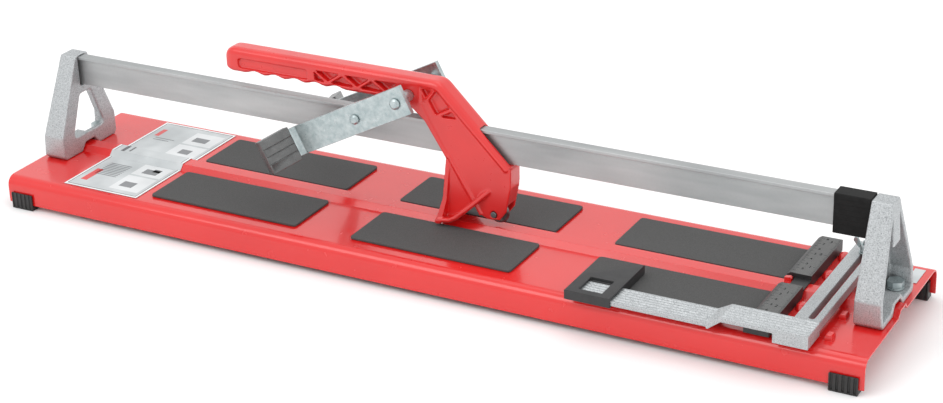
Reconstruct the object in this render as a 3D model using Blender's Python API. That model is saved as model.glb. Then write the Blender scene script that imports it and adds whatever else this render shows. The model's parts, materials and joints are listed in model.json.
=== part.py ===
"""Manual tile cutter: a folded steel base with rubber pads, two cast pylons that carry a T-section
rail, a sliding cast handle with a scoring wheel and two breaker arms, an end ruler and an angle guide.

Bench frame used while building: X along the rail, Y towards the rear, Z up, with Z = 0 on the plate's
top face and Y = 0 in the rail's middle plane. One empty then sets the whole cutter on the floor with
its outline centred on the origin.
"""

import math

import bmesh
import bpy
from mathutils import Matrix, Vector

MM = 0.001
GAP = 0.3 * MM                    # clearance between two pieces that touch
FIT = 0.4 * MM                    # looser clearance around sheet and castings

# Base plate
BASE_LENGTH = 828.8 * MM
BASE_WIDTH = 181.0 * MM
SHEET = 1.5 * MM
SKIRT_DEPTH = 24.7 * MM
BEND_RADIUS = 9.0 * MM
RIDGE_HEIGHT = 5.0 * MM
RIDGE_TOP_WIDTH = 13.0 * MM
RIDGE_FOOT_WIDTH = 23.0 * MM
BUMP_LENGTH = 15.0 * MM           # across the plate
BUMP_WIDTH = 10.6 * MM            # along the rail
BUMP_HEIGHT = 4.5 * MM
HOOK_WIDTH = 6.5 * MM
HOOK_LENGTH = 9.0 * MM

# Feet
FOOT_LENGTH = 23.7 * MM
FOOT_END_INSET = 4.2 * MM
FOOT_WALL = 2.1 * MM
FOOT_INNER_WALL = 6.6 * MM
FOOT_UNDER = 4.4 * MM
FOOT_SKIRT_COVER = 10.7 * MM

# Pads
PAD_THICKNESS = 2.0 * MM
PAD_FIELD_START = 150.4 * MM      # from the plate's left end
PAD_GAP = 55.7 * MM
PAD_RULER_GAP = 1.0 * MM
PAD_RIDGE_MARGIN = 2.2 * MM
PAD_EDGE_MARGIN = 19.7 * MM
PAD_CORNER = 3.0 * MM
PADS_PER_ROW = 3

# Rail
RAIL_BOTTOM = 65.0 * MM
RAIL_HEIGHT = 28.4 * MM
RAIL_FLANGE_WIDTH = 10.0 * MM
RAIL_FLANGE = 3.0 * MM
RAIL_WEB = 4.4 * MM
RAIL_END_WALL = 8.3 * MM          # from the pylon's outer foot to the rail's end

# Pylons
PYLON_INSET = 4.1 * MM
PYLON_DEPTH = 23.7 * MM
PYLON_WIDTH = 79.2 * MM
PYLON_SHOULDER = 22.5 * MM
PYLON_TOP_WIDTH = 17.2 * MM
PYLON_ROOF = 1.3 * MM             # above the rail
PYLON_DRAFT = 6.2 * MM
PYLON_WALL = 4.0 * MM
PYLON_FLOOR = 5.0 * MM
PYLON_CHAMFER = 3.0 * MM
BOSS_WIDTH = 16.0 * MM
BOSS_UNDER = 7.0 * MM             # boss depth below the rail
WINDOW_FOOT_WIDTH = 47.0 * MM
WINDOW_TOP_WIDTH = 16.0 * MM
WINDOW_SILL = 17.0 * MM
BOLT_RADIUS = 3.0 * MM
BOLT_HEAD_FLATS = 12.5 * MM
BOLT_HEAD = 5.0 * MM
BOLT_SPACING = 56.0 * MM
BOLT_DEPTH_OFFSET = 12.0 * MM     # from the pylon's inner face
WASHER_RADIUS = 7.0 * MM
WASHER = 1.5 * MM
SET_SCREW_RADIUS = 2.5 * MM
SET_SCREW_LENGTH = 10.0 * MM

# Rubber bumper at the rail's right end
BUMPER_LENGTH = 30.4 * MM
BUMPER_SIDE = 2.8 * MM
BUMPER_UNDER = 4.0 * MM
BUMPER_OVER = 1.9 * MM

# Ruler
RULER_WIDTH = 21.0 * MM
RULER_THICKNESS = 10.0 * MM
RULER_END_INSET = 5.5 * MM        # from the plate's long edge
RULER_INNER_END = 9.7 * MM
RULER_TO_PYLON = 51.9 * MM
RULER_BEVEL = 3.0 * MM
SADDLE_WIDTH = 13.7 * MM
SADDLE_THICKNESS = 1.2 * MM
RULER_SCREW_RADIUS = 1.5 * MM
RULER_SCREW_Y = 47.5 * MM
TAB_LENGTH = 6.0 * MM
TAB_TOP = 9.5 * MM

# Angle guide
ARM_WIDTH = 26.0 * MM
ARM_OVERHANG = 5.5 * MM           # in front of the plate
ARM_LENGTH = 204.5 * MM
ARM_THICKNESS = 5.8 * MM
ARM_RAISED_TOP = 4.7 * MM         # raised part's top above the ruler
ARM_RISER = 12.0 * MM
ARM_RAISED_LENGTH = 71.5 * MM
GUIDE_TO_PYLON = 16.1 * MM
GUIDE_FOOT_LENGTH = 29.0 * MM
LEG_WIDTH = 21.5 * MM
LEG_UNDER = 5.6 * MM
LEG_TOP = 14.0 * MM
LEG_REAR = 82.0 * MM
SLOT_WIDTH = 5.0 * MM
SLOT_FRONT = 66.0 * MM
SLOT_REAR = 72.0 * MM
GUIDE_BOLT_Y = 62.0 * MM
GUIDE_BOLT_RADIUS = 2.1 * MM
GUIDE_BOLT_TOP = 25.0 * MM
REBATE_DEPTH = 3.0 * MM
REBATE_HEIGHT = 1.6 * MM

# Sliding corner on the guide
CORNER_WALL = 1.2 * MM
CORNER_TOP = 2.3 * MM
CORNER_LENGTH = 40.5 * MM
CORNER_TIP = 41.0 * MM            # from the arm's rear face to the tip
CORNER_HEEL = 4.4 * MM
CORNER_WINDOW = 20.5 * MM

# Carriage, handle and wheel
SHOE_LEFT = 14.0 * MM
SHOE_RIGHT = 34.0 * MM
SHOE_WALL = 1.0 * MM
SHOE_ARM_DEPTH = 7.7 * MM
SHOE_ROOF_WALL = 1.3 * MM
PIVOT_X = 56.0 * MM
PIVOT_DROP = 4.0 * MM             # below the rail
PIVOT_RADIUS = 3.0 * MM
CHEEK_WALL = 2.4 * MM
GRIP_WIDTH = 21.0 * MM
CROWN_RADIUS = 5.5 * MM
GRIP_END = -214.0 * MM
GRIP_DEPTH = 22.0 * MM
FINGER_PITCH = 21.2 * MM
FINGER_DEPTH = 2.4 * MM
ELBOW_X = 4.8 * MM
ELBOW_RADIUS = 14.0 * MM
CROWN_ABOVE_RAIL = 38.1 * MM
HEAD_DEPTH = 12.06 * MM           # added under the grip where the breaker hangs
SPINE_DEPTH = 7.4 * MM
SPINE_WALL = 4.0 * MM
SKID_HALF_WIDTH = 20.0 * MM
SKID_RADIUS = 2.5 * MM
WHEEL_RADIUS = 10.8 * MM
WHEEL_X = 54.8 * MM
WHEEL_Z = 18.0 * MM
WHEEL_THICKNESS = 3.0 * MM
WHEEL_PIN_RADIUS = 2.8 * MM

# Breaker
BREAKER_X = -23.5 * MM
BREAKER_ABOVE_RAIL = 23.2 * MM
BREAKER_SLOPE = math.radians(27.0)
STRAP_WIDTH = 26.0 * MM
STRAP = 4.5 * MM
STRAP_INNER_Y = 29.5 * MM
STRAP_TAIL = 11.0 * MM
STRAP_LENGTH = 109.5 * MM
STRAP_BEND_RADIUS = 6.0 * MM
STRAP_BEND = math.radians(65.0)
TAB_REACH = 29.0 * MM
BREAKER_PAD_LENGTH = 31.0 * MM
BREAKER_PAD_WALL = 2.6 * MM
PIVOT_BOLT_RADIUS = 3.0 * MM
PIVOT_HEAD_RADIUS = 5.0 * MM
PIVOT_HEAD = 3.0 * MM
SPACER_RADIUS = 6.0 * MM
TIE_PIN_RADIUS = 2.0 * MM
TIE_PIN_REACH = 46.0 * MM

# Labels
LABEL = 0.25 * MM
LABEL_LENGTH = 82.0 * MM
LABEL_START = 58.4 * MM           # from the plate's left end
LABEL_WIDTH = 160.0 * MM

# Sizes worked out from those above
HALF_LENGTH = BASE_LENGTH / 2
HALF_WIDTH = BASE_WIDTH / 2
RIDGE_TOP = RIDGE_TOP_WIDTH / 2
RIDGE_FOOT = RIDGE_FOOT_WIDTH / 2
RAIL_TOP = RAIL_BOTTOM + RAIL_HEIGHT
RAIL_HALF = RAIL_FLANGE_WIDTH / 2
PYLON_OUTER = HALF_LENGTH - PYLON_INSET
PYLON_INNER = PYLON_OUTER - PYLON_DEPTH
PYLON_TOP = RAIL_TOP + PYLON_ROOF
PYLON_BASE = FIT
FLOOR_TOP = PYLON_BASE + PYLON_FLOOR
RAIL_END = PYLON_OUTER - RAIL_END_WALL
BOLT_X = PYLON_INNER + BOLT_DEPTH_OFFSET
FOOT_TOP_INNER = -SKIRT_DEPTH + FOOT_SKIRT_COVER + 1.0 * MM
FOOT_BOTTOM = -SKIRT_DEPTH - FIT - FOOT_UNDER
FOOT_OUTER = HALF_WIDTH + FIT + FOOT_WALL
PAD_TOP = GAP + PAD_THICKNESS
RULER_RIGHT = PYLON_INNER - RULER_TO_PYLON
RULER_LEFT = RULER_RIGHT - RULER_WIDTH
RULER_TOP = GAP + RULER_THICKNESS
RULER_X = (RULER_LEFT + RULER_RIGHT) / 2
PAD_START = -HALF_LENGTH + PAD_FIELD_START
PAD_LENGTH = (RULER_LEFT - PAD_RULER_GAP - PAD_START - (PADS_PER_ROW - 1) * PAD_GAP) / PADS_PER_ROW
PAD_INNER = RIDGE_FOOT + PAD_RIDGE_MARGIN
PAD_OUTER = HALF_WIDTH - PAD_EDGE_MARGIN
GUIDE_RIGHT = PYLON_INNER - GUIDE_TO_PYLON
ARM_FRONT = -(HALF_WIDTH + ARM_OVERHANG)
ARM_REAR = ARM_FRONT + ARM_WIDTH
ARM_UNDER = PAD_TOP + GAP
ARM_TOP = ARM_UNDER + ARM_THICKNESS
ARM_LEFT = GUIDE_RIGHT - ARM_LENGTH
RAISED_UNDER = RULER_TOP + FIT
RAISED_TOP = RULER_TOP + ARM_RAISED_TOP
RULER_HALF_LENGTH = BASE_WIDTH / 2 - RULER_END_INSET
RISER_START = GUIDE_RIGHT - ARM_RAISED_LENGTH - ARM_RISER
LEG_LEFT = GUIDE_RIGHT - LEG_WIDTH
SLOT_X = GUIDE_RIGHT - LEG_WIDTH * 0.41
CORNER_FRONT = ARM_FRONT - GAP - CORNER_WALL
SHOE_HALF = RAIL_HALF + GAP + SHOE_WALL
SHOE_ROOF = RAIL_TOP + GAP + SHOE_ROOF_WALL
CHEEK_INNER = SHOE_HALF + GAP
CHEEK_OUTER = CHEEK_INNER + CHEEK_WALL
GRIP_HALF = GRIP_WIDTH / 2
CROWN_TOP = RAIL_TOP + CROWN_ABOVE_RAIL
PIVOT_Z = RAIL_BOTTOM - PIVOT_DROP
BREAKER_Z = RAIL_TOP + BREAKER_ABOVE_RAIL
STRAP_OUTER_Y = STRAP_INNER_Y + STRAP
CENTRING = (-CORNER_FRONT - FOOT_OUTER) / 2
FLOOR = FOOT_BOTTOM

FINISHES = {
    "red_paint": ((0.72, 0.02, 0.02), 0.0, 0.25),
    "cast_aluminium": ((0.62, 0.64, 0.65), 0.9, 0.5),
    "zinc_steel": ((0.62, 0.65, 0.68), 1.0, 0.35),
    "galvanised_steel": ((0.66, 0.67, 0.67), 1.0, 0.42),
    "dark_steel": ((0.20, 0.20, 0.21), 1.0, 0.4),
    "pad_rubber": ((0.045, 0.045, 0.047), 0.0, 0.85),
    "black_rubber": ((0.02, 0.02, 0.02), 0.0, 0.6),
    "black_plastic": ((0.03, 0.03, 0.032), 0.0, 0.45),
    "nylon": ((0.75, 0.74, 0.70), 0.0, 0.5),
    "label_film": ((0.78, 0.79, 0.80), 0.0, 0.35),
}


# ---------------------------------------------------------------- shape tools

def axis_point(axis, a, b, depth):
    """A point from outline coordinates (a, b) and a depth along the axis."""
    if axis == "x":
        return Vector((depth, a, b))
    if axis == "y":
        return Vector((a, depth, b))
    return Vector((a, b, depth))


def solid(bm):
    """Turn a bmesh into an object at the bench frame's origin."""
    bmesh.ops.recalc_face_normals(bm, faces=bm.faces)
    mesh = bpy.data.meshes.new("solid")
    bm.to_mesh(mesh)
    bm.free()
    body = bpy.data.objects.new("solid", mesh)
    bpy.context.scene.collection.objects.link(body)
    return body


def loft(rings, closed=False):
    """Join rings of points into a solid, capped at both ends or closed into a loop."""
    bm = bmesh.new()
    loops = [[bm.verts.new(point) for point in ring] for ring in rings]
    pairs = list(zip(loops, loops[1:]))
    if closed:
        pairs.append((loops[-1], loops[0]))
    for lower, upper in pairs:
        for i in range(len(lower)):
            j = (i + 1) % len(lower)
            bm.faces.new((lower[i], lower[j], upper[j], upper[i]))
    if not closed:
        bm.faces.new(loops[0])
        bm.faces.new(loops[-1])
    return solid(bm)


def prism(outline, axis, low, high):
    """Extrude a closed outline along an axis."""
    return loft([[axis_point(axis, a, b, depth) for a, b in outline] for depth in (low, high)])


def box(x, y, z):
    """A block from three (low, high) pairs."""
    return prism([(x[0], y[0]), (x[1], y[0]), (x[1], y[1]), (x[0], y[1])], "z", z[0], z[1])


def circle(centre, radius, sides, turn=0.0):
    """Points round a circle."""
    angles = [turn + math.tau * i / sides for i in range(sides)]
    return [(centre[0] + radius * math.cos(t), centre[1] + radius * math.sin(t)) for t in angles]


def rod(axis, centre, radius, low, high, sides=24):
    """A round bar along an axis."""
    return prism(circle(centre, radius, sides), axis, low, high)


def hexagon(axis, centre, flats, low, high):
    """A six-sided bar of the given width across its flats."""
    return prism(circle(centre, flats / math.sqrt(3), 6, math.radians(30)), axis, low, high)


def turned(axis, centre, profile, sides=28):
    """Turn a closed (radius, height) profile round an axis through the centre."""
    rings = []
    for i in range(sides):
        angle = math.tau * i / sides
        ring = [axis_point(axis, centre[0] + r * math.cos(angle), centre[1] + r * math.sin(angle), h)
                for r, h in profile]
        rings.append(ring)
    return loft(rings, closed=True)


def sleeve(axis, centre, inner, outer, low, high, sides=24):
    """A plain ring or tube."""
    return turned(axis, centre, [(inner, low), (outer, low), (outer, high), (inner, high)], sides)


def rounded(points, radius, steps=3):
    """Replace the corners of a closed outline by arcs; radius is one value or one per corner."""
    count = len(points)
    radii = radius if isinstance(radius, list) else [radius] * count
    result = []
    for i in range(count):
        corner = Vector(points[i])
        back = Vector(points[i - 1]) - corner
        ahead = Vector(points[(i + 1) % count]) - corner
        angle = back.angle(ahead)
        reach = radii[i] / math.tan(angle / 2)
        if reach <= 0 or angle > math.radians(178):
            result.append(tuple(corner))
            continue
        reach = min(reach, 0.45 * back.length, 0.45 * ahead.length)
        fillet = reach * math.tan(angle / 2)
        middle = corner + (back.normalized() + ahead.normalized()).normalized() * (
            fillet / math.sin(angle / 2))
        start = corner + back.normalized() * reach - middle
        end = corner + ahead.normalized() * reach - middle
        sweep = math.atan2(start.x * end.y - start.y * end.x, start.dot(end))
        for k in range(steps + 1):
            turn = Matrix.Rotation(sweep * k / steps, 2)
            result.append(tuple(middle + turn @ start))
    return result


def mirrored(outline):
    """Complete an outline, given for the positive side, with its mirror image."""
    return outline + [(-a, b) for a, b in reversed(outline)]


def combine(body, others, operation):
    """Apply exact Booleans between a body and other solids."""
    for other in others:
        modifier = body.modifiers.new(operation, "BOOLEAN")
        modifier.operation = operation
        modifier.solver = "EXACT"
        modifier.object = other
    graph = bpy.context.evaluated_depsgraph_get()
    mesh = bpy.data.meshes.new_from_object(body.evaluated_get(graph))
    body.modifiers.clear()
    body.data = mesh
    for other in others:
        bpy.data.objects.remove(other)
    return body


def cut(body, *others):
    return combine(body, others, "DIFFERENCE")


def join(body, *others):
    return combine(body, others, "UNION")


def tube(points, radius, sides=8):
    """A round bead along a chain of points, with flat ends."""
    rings = []
    for i, point in enumerate(points):
        before = points[max(i - 1, 0)]
        after = points[min(i + 1, len(points) - 1)]
        heading = (Vector(after) - Vector(before)).normalized()
        side = heading.cross(Vector((0, 0, 1))).normalized()
        up = side.cross(heading)
        rings.append([Vector(point) + side * a + up * b for a, b in circle((0, 0), radius, sides)])
    return loft(rings)


def bevel(body, width, segments=1, angle=40.0):
    """Break the sharp edges."""
    modifier = body.modifiers.new("edges", "BEVEL")
    modifier.width = width
    modifier.segments = segments
    modifier.limit_method = "ANGLE"
    modifier.angle_limit = math.radians(angle)
    return body


def material(name, finish):
    """A Principled material with the finish's colour, metallic value and roughness."""
    colour, metallic, roughness = FINISHES[finish]
    paint = bpy.data.materials.new(f"{name}_{finish}")
    paint.use_nodes = True
    shader = paint.node_tree.nodes["Principled BSDF"]
    shader.inputs["Base Color"].default_value = (*colour, 1.0)
    shader.inputs["Metallic"].default_value = metallic
    shader.inputs["Roughness"].default_value = roughness
    return paint


def empty(name, origin, parent=None):
    """A joint's or the whole cutter's own frame."""
    marker = bpy.data.objects.new(name, None)
    marker.empty_display_size = 20 * MM
    bpy.context.scene.collection.objects.link(marker)
    marker["bench_origin"] = tuple(origin)
    marker.location = Vector(origin)
    if parent:
        marker.parent = parent
        marker.location = Vector(origin) - Vector(parent["bench_origin"])
    return marker


def add(name, body, finish, frame):
    """Name a finished solid, give it its material and hang it on its frame's origin."""
    body.name = name
    body.data.name = name
    body.data.transform(Matrix.Translation(-Vector(frame["bench_origin"])))
    body.parent = frame
    body.data.materials.clear()
    body.data.materials.append(material(name, finish))
    body.data.shade_smooth()
    body.data.set_sharp_from_angle(angle=math.radians(32))
    return body


# ---------------------------------------------------------------- base

def ridge_outline(clearance, foot):
    """The ridge's section with a clearance, closed below at the given height."""
    return mirrored([(RIDGE_FOOT + clearance * 2 - foot, foot),
                     (RIDGE_TOP + clearance, RIDGE_HEIGHT + clearance)])


def channel_path(offset):
    """The folded plate's section for the positive side, offset into the sheet."""
    bend = [(HALF_WIDTH - BEND_RADIUS + (BEND_RADIUS - offset) * math.cos(t),
             -BEND_RADIUS + (BEND_RADIUS - offset) * math.sin(t))
            for t in [math.radians(a) for a in (0, 18, 36, 54, 72, 90)]]
    slope = math.atan2(RIDGE_HEIGHT, RIDGE_FOOT - RIDGE_TOP)
    shift = offset * math.tan(slope / 2)
    return ([(HALF_WIDTH - offset, -SKIRT_DEPTH)] + bend
            + [(RIDGE_FOOT - shift, -offset), (RIDGE_TOP - shift, RIDGE_HEIGHT - offset)])


def bump(x, y):
    """A pressed dome on the plate."""
    levels = [(1.0, -SHEET / 2), (0.95, 0.25 * BUMP_HEIGHT), (0.74, 0.76 * BUMP_HEIGHT),
              (0.42, BUMP_HEIGHT)]
    rings = []
    for share, z in levels:
        rings.append([Vector((x + a * share * BUMP_WIDTH / 2, y + b * share * BUMP_LENGTH / 2, z))
                      for a, b in circle((0, 0), 1.0, 14)])
    return loft(rings)


def hook(x, y):
    """A pressed block on the plate that keeps the guide's leg straight."""
    edge = 1.2 * MM
    levels = [(0.0, -SHEET / 2), (0.3 * edge, BUMP_HEIGHT - edge), (edge, BUMP_HEIGHT)]
    rings = []
    for inset, z in levels:
        a, b = HOOK_WIDTH / 2 - inset, HOOK_LENGTH / 2 - inset
        rings.append([Vector((x + i * a, y + j * b, z)) for i, j in ((-1, -1), (1, -1), (1, 1), (-1, 1))])
    return loft(rings)


def base_plate():
    outer, inner = channel_path(0.0), channel_path(SHEET)
    section = (outer + [(-a, b) for a, b in reversed(outer)]
               + [(-a, b) for a, b in inner] + list(reversed(inner)))
    plate = prism(section, "x", -HALF_LENGTH, HALF_LENGTH)
    bump_x = RULER_RIGHT + FIT + BUMP_WIDTH / 2
    bumps = [bump(bump_x, y) for y in (72.6 * MM, 35.0 * MM, -27.0 * MM)]
    hooks = [hook(GUIDE_RIGHT + 5.3 * MM, -28.5 * MM), hook(GUIDE_RIGHT + 7.0 * MM, -65.5 * MM)]
    saddle_left = RULER_RIGHT - SADDLE_WIDTH
    tab = prism([(saddle_left - 0.8 * MM - TAB_LENGTH, RIDGE_HEIGHT - SHEET / 2),
                 (saddle_left - 0.8 * MM, RIDGE_HEIGHT - SHEET / 2),
                 (saddle_left - 0.8 * MM, TAB_TOP - 1.2 * MM),
                 (saddle_left - 2.0 * MM, TAB_TOP),
                 (saddle_left - 0.8 * MM - TAB_LENGTH, TAB_TOP - 0.8 * MM)],
                "y", RIDGE_TOP * 0.35, RIDGE_TOP * 0.95)
    join(plate, *bumps, *hooks, tab)
    deep = 2 * SKIRT_DEPTH
    holes = [rod("z", (side * BOLT_X, row * BOLT_SPACING / 2), BOLT_RADIUS + GAP, -deep, deep, 16)
             for side in (-1, 1) for row in (-1, 1)]
    holes += [rod("z", (RULER_X, row * RULER_SCREW_Y), RULER_SCREW_RADIUS + GAP, -deep, deep, 12)
              for row in (-1, 1)]
    holes.append(rod("z", (SLOT_X, GUIDE_BOLT_Y), GUIDE_BOLT_RADIUS + GAP, -deep, deep, 16))
    return cut(plate, *holes)


def foot(side, row):
    """A rubber foot that grips the skirt's lower edge near one corner."""
    skirt_in = HALF_WIDTH - SHEET - FIT
    skirt_out = HALF_WIDTH + FIT
    groove = -SKIRT_DEPTH - FIT
    outline = [(FOOT_OUTER, FOOT_BOTTOM), (FOOT_OUTER, -SKIRT_DEPTH + FOOT_SKIRT_COVER),
               (skirt_out, -SKIRT_DEPTH + FOOT_SKIRT_COVER), (skirt_out, groove),
               (skirt_in, groove), (skirt_in, FOOT_TOP_INNER),
               (skirt_in - FOOT_INNER_WALL, FOOT_TOP_INNER), (skirt_in - FOOT_INNER_WALL, FOOT_BOTTOM)]
    right = HALF_LENGTH - FOOT_END_INSET
    ends = sorted((side * (right - FOOT_LENGTH), side * right))
    return bevel(prism([(row * a, b) for a, b in outline], "x", *ends), 0.5 * MM)


def pad(index, row):
    left = PAD_START + index * (PAD_LENGTH + PAD_GAP)
    near, far = sorted((row * PAD_INNER, row * PAD_OUTER))
    corners = [(left, near), (left + PAD_LENGTH, near), (left + PAD_LENGTH, far), (left, far)]
    return prism(rounded(corners, PAD_CORNER, 4), "z", GAP, PAD_TOP)


# ---------------------------------------------------------------- pylons and rail

def pylon_half_width(z):
    """Half the pylon's width at a height above its shoulder."""
    share = (z - PYLON_SHOULDER) / (PYLON_TOP - PYLON_SHOULDER)
    return PYLON_WIDTH / 2 + share * (PYLON_TOP_WIDTH - PYLON_WIDTH) / 2


def pylon(side):
    """A cast pylon, open on its outer side, with a boss that holds the rail's end."""
    half = PYLON_WIDTH / 2
    notch_foot = RIDGE_FOOT + 2 * FIT
    notch_top = RIDGE_TOP + FIT
    notch_height = RIDGE_HEIGHT + 3.0 * MM
    outline = mirrored([(notch_top, notch_height), (notch_foot, PYLON_BASE),
                        (half - PYLON_CHAMFER, PYLON_BASE), (half, PYLON_BASE + PYLON_CHAMFER),
                        (half, PYLON_SHOULDER), (PYLON_TOP_WIDTH / 2, PYLON_TOP)])
    rings = []
    for outer in (False, True):
        ring = []
        for y, z in outline:
            x = PYLON_OUTER - PYLON_DRAFT * z / PYLON_TOP if outer else PYLON_INNER
            ring.append(Vector((side * x, y, z)))
        rings.append(ring)
    body = loft(rings)

    slant = PYLON_WALL * 1.09
    boss_half = BOSS_WIDTH / 2
    boss_bottom = RAIL_BOTTOM - BOSS_UNDER
    climb = (PYLON_TOP - PYLON_SHOULDER) / (PYLON_WIDTH / 2 - PYLON_TOP_WIDTH / 2)
    boss_meet = PYLON_SHOULDER + (half - slant - boss_half) * climb
    hump_foot = notch_foot + 2.0 * MM
    hollow = mirrored([(notch_top + 2.0 * MM, notch_height + PYLON_WALL * 0.8), (hump_foot, FLOOR_TOP),
                       (half - PYLON_WALL, FLOOR_TOP), (half - PYLON_WALL, PYLON_SHOULDER - 1.0 * MM),
                       (boss_half, boss_meet - 1.0 * MM), (boss_half, boss_bottom)])
    web_face = PYLON_INNER + PYLON_WALL
    reach = sorted((side * web_face, side * (PYLON_OUTER + PYLON_WALL)))
    window = rounded(mirrored([(WINDOW_FOOT_WIDTH / 2, WINDOW_SILL),
                               (WINDOW_TOP_WIDTH / 2, boss_bottom - 0.6 * MM)]), 4.0 * MM, 4)
    through = sorted((side * (PYLON_INNER - PYLON_WALL), side * (web_face + 1.0 * MM)))
    pocket_x = sorted((side * (PYLON_INNER - PYLON_WALL), side * (RAIL_END + GAP)))
    cutters = [prism(hollow, "x", *reach), prism(window, "x", *through),
               box(pocket_x, (-RAIL_HALF - GAP, RAIL_HALF + GAP), (RAIL_BOTTOM - GAP, RAIL_TOP + GAP)),
               rod("z", (side * BOLT_X, 0.0), SET_SCREW_RADIUS + GAP, boss_bottom - 2 * MM,
                   RAIL_BOTTOM, 16)]
    cutters += [rod("z", (side * BOLT_X, row * BOLT_SPACING / 2), BOLT_RADIUS + GAP, -FLOOR_TOP,
                    FLOOR_TOP + 1 * MM, 16) for row in (-1, 1)]
    return bevel(cut(body, *cutters), 0.6 * MM, 1, 50)


def rail_outline(clearance):
    web = RAIL_WEB / 2 + clearance
    flange = RAIL_HALF + clearance
    under_flange = RAIL_TOP - RAIL_FLANGE - clearance
    return mirrored([(web, RAIL_BOTTOM - clearance), (web, under_flange), (flange, under_flange),
                     (flange, RAIL_TOP + clearance)])


def rail_bumper():
    right = PYLON_INNER - FIT
    side = RAIL_HALF + BUMPER_SIDE
    body = box((right - BUMPER_LENGTH, right), (-side, side),
               (RAIL_BOTTOM - BUMPER_UNDER, RAIL_TOP + BUMPER_OVER))
    bore = prism(rail_outline(GAP), "x", right - 2 * BUMPER_LENGTH, right + BUMPER_LENGTH)
    return bevel(cut(body, bore), 1.0 * MM, 2, 60)


def pylon_bolt(side, row):
    centre = (side * BOLT_X, row * BOLT_SPACING / 2)
    seat = FLOOR_TOP + GAP + WASHER + GAP
    head = hexagon("z", centre, BOLT_HEAD_FLATS, seat, seat + BOLT_HEAD)
    shank = rod("z", centre, BOLT_RADIUS, -SHEET - 9.0 * MM, seat + 1.0 * MM, 16)
    return join(head, shank)


def pylon_washer(side, row):
    centre = (side * BOLT_X, row * BOLT_SPACING / 2)
    low = FLOOR_TOP + GAP
    return sleeve("z", centre, BOLT_RADIUS + GAP, WASHER_RADIUS, low, low + WASHER, 20)


def pylon_nut(side, row):
    centre = (side * BOLT_X, row * BOLT_SPACING / 2)
    top = -SHEET - GAP
    nut = hexagon("z", centre, 10.0 * MM, top - BOLT_HEAD, top)
    return cut(nut, rod("z", centre, BOLT_RADIUS + GAP, top - 2 * BOLT_HEAD, top + BOLT_HEAD, 16))


def rail_set_screw(side):
    top = RAIL_BOTTOM - GAP
    return rod("z", (side * BOLT_X, 0.0), SET_SCREW_RADIUS, top - SET_SCREW_LENGTH, top, 16)


# ---------------------------------------------------------------- ruler and guide

def ruler_bar():
    """Two ruler blocks joined by a thin saddle over the ridge."""
    block = [(RULER_LEFT, GAP), (RULER_RIGHT, GAP), (RULER_RIGHT, RULER_TOP),
             (RULER_LEFT + RULER_BEVEL, RULER_TOP), (RULER_LEFT, RULER_TOP - RULER_BEVEL * 0.7)]
    body = prism(block, "y", RULER_INNER_END, RULER_HALF_LENGTH)
    rear = prism(block, "y", -RULER_HALF_LENGTH, -RULER_INNER_END)
    saddle_low = RIDGE_HEIGHT + FIT
    saddle = box((RULER_RIGHT - SADDLE_WIDTH, RULER_RIGHT - 0.1 * MM),
                 (-RULER_INNER_END - 2 * MM, RULER_INNER_END + 2 * MM),
                 (saddle_low - 1.0 * MM, saddle_low + SADDLE_THICKNESS))
    join(body, saddle, rear)
    notch = prism(ridge_outline(FIT, -1.0 * MM), "x", RULER_LEFT - 5 * MM, RULER_RIGHT + 5 * MM)
    screws = [rod("z", (RULER_X, row * RULER_SCREW_Y), RULER_SCREW_RADIUS + GAP, -1 * MM,
                  0.7 * RULER_THICKNESS + GAP, 12) for row in (-1, 1)]
    return cut(body, notch, *screws)


def ruler_screw(row):
    centre = (RULER_X, row * RULER_SCREW_Y)
    top = -SHEET - GAP
    head = rod("z", centre, 2.4 * RULER_SCREW_RADIUS, top - 2.0 * MM, top, 16)
    return join(head, rod("z", centre, RULER_SCREW_RADIUS, top - 1.0 * MM, 0.7 * RULER_THICKNESS, 12))


def angle_guide():
    """The cast guide: a ribbed arm along the plate's front and a slotted leg across it."""
    foot_left = GUIDE_RIGHT - GUIDE_FOOT_LENGTH
    top_shift = 1.5 * MM
    arm = [(ARM_LEFT, ARM_UNDER), (RISER_START + top_shift, ARM_UNDER),
           (RISER_START + ARM_RISER, RAISED_UNDER), (foot_left, RAISED_UNDER), (foot_left, ARM_UNDER),
           (GUIDE_RIGHT, ARM_UNDER), (GUIDE_RIGHT, RAISED_TOP), (RISER_START + ARM_RISER, RAISED_TOP),
           (RISER_START, ARM_TOP), (ARM_LEFT, ARM_TOP)]
    body = prism(arm, "y", ARM_FRONT, ARM_REAR)
    leg = box((LEG_LEFT, GUIDE_RIGHT - 0.4 * MM), (ARM_REAR - 3 * MM, LEG_REAR), (LEG_UNDER, LEG_TOP))
    join(body, leg)
    slot_half = SLOT_WIDTH / 2
    slot = prism(rounded([(SLOT_X - slot_half, -SLOT_FRONT), (SLOT_X + slot_half, -SLOT_FRONT),
                          (SLOT_X + slot_half, SLOT_REAR), (SLOT_X - slot_half, SLOT_REAR)],
                         slot_half * 0.9, 3), "z", 0.0, 2 * LEG_TOP)
    rebate = box((ARM_LEFT - 5 * MM, RISER_START), (ARM_FRONT - 5 * MM, ARM_FRONT + REBATE_DEPTH),
                 (0.0, ARM_UNDER + REBATE_HEIGHT))
    return bevel(cut(body, slot, rebate), 0.5 * MM, 1, 50)


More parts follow.
